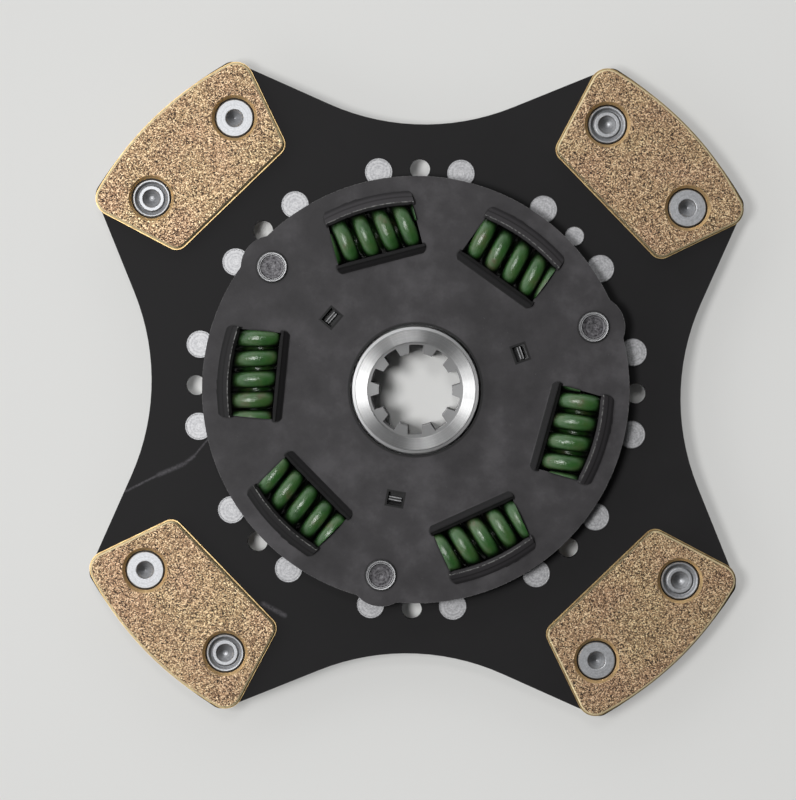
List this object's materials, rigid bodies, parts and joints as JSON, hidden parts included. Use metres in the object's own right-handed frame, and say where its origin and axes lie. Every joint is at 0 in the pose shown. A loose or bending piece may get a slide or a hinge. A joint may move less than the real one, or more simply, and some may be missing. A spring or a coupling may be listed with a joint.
{
  "type": "clutch disc",
  "caption": "Paddle-type clutch disc: riveted sintered facings on a waisted carrier plate, with a splined hub sprung by coils in pressed windows.",
  "frame": {"origin": "on the shaft axis, at the height of the hub's rear end face", "axes": "+Z along the shaft axis towards the cover plate; +X through the middle of a waist, with the facings at 45 degrees"},
  "size_m": [0.206, 0.206, 0.026],
  "materials": {
    "carrier_black": "black oxide sheet, satin",
    "cover_grey": "phosphated sheet, satin",
    "sintered_facing": "sintered bronze, matt and speckled",
    "backing_plate": "copper-plated steel",
    "rivet_steel": "plated, bright",
    "pin_steel": "turned, riveted over",
    "hub_steel": "turned and broached",
    "spring_green": "green dip paint, satin",
    "spring_steel": "hardened strip",
    "friction_polymer": "moulded friction material"
  },
  "bodies": {
    "disc": {"carrier_plate": "carrier_black", "cover_plate": "cover_grey", "drive_plate": "cover_grey", "centring_bush": "friction_polymer", "rear_friction_ring": "friction_polymer", "front_friction_ring": "friction_polymer", "support_ring": "spring_steel", "diaphragm_spring": "spring_steel", "stop_pins": "pin_steel", "carrier_rivets": "rivet_steel", "balance_rivet": "rivet_steel", "pad_rivets_head_front": "rivet_steel", "pad_rivets_head_rear": "rivet_steel", "front_backing_1": "backing_plate", "front_facing_1": "sintered_facing", "front_backing_2": "backing_plate", "front_facing_2": "sintered_facing", "front_backing_3": "backing_plate", "front_facing_3": "sintered_facing", "front_backing_4": "backing_plate", "front_facing_4": "sintered_facing", "rear_backing_1": "backing_plate", "rear_facing_1": "sintered_facing", "rear_backing_2": "backing_plate", "rear_facing_2": "sintered_facing", "rear_backing_3": "backing_plate", "rear_facing_3": "sintered_facing", "rear_backing_4": "backing_plate", "rear_facing_4": "sintered_facing"},
    "hub": {"hub": "hub_steel"},
    "springs": {"spring_1": "spring_green", "spring_2": "spring_green", "spring_3": "spring_green", "spring_4": "spring_green", "spring_5": "spring_green", "spring_6": "spring_green"}
  },
  "joints": [
    {"name": "hub_twist", "type": "hinge", "parent": "disc", "child": "hub", "pos_m": [0, 0, 0.013], "axis": [0, 0, 1], "range_deg": [-3.2, 3.2], "stiffness_Nm_per_rad": 10, "deforming": ["spring_1", "spring_2", "spring_3", "spring_4", "spring_5", "spring_6"]},
    {"name": "spring_shift", "type": "hinge", "parent": "disc", "child": "springs", "pos_m": [0, 0, 0.01525], "axis": [0, 0, 1], "range_deg": [-1.6, 1.6]}
  ],
  "couplings": [
    {"joint": "spring_shift", "follows": "hub_twist", "ratio": 0.5}
  ]
}
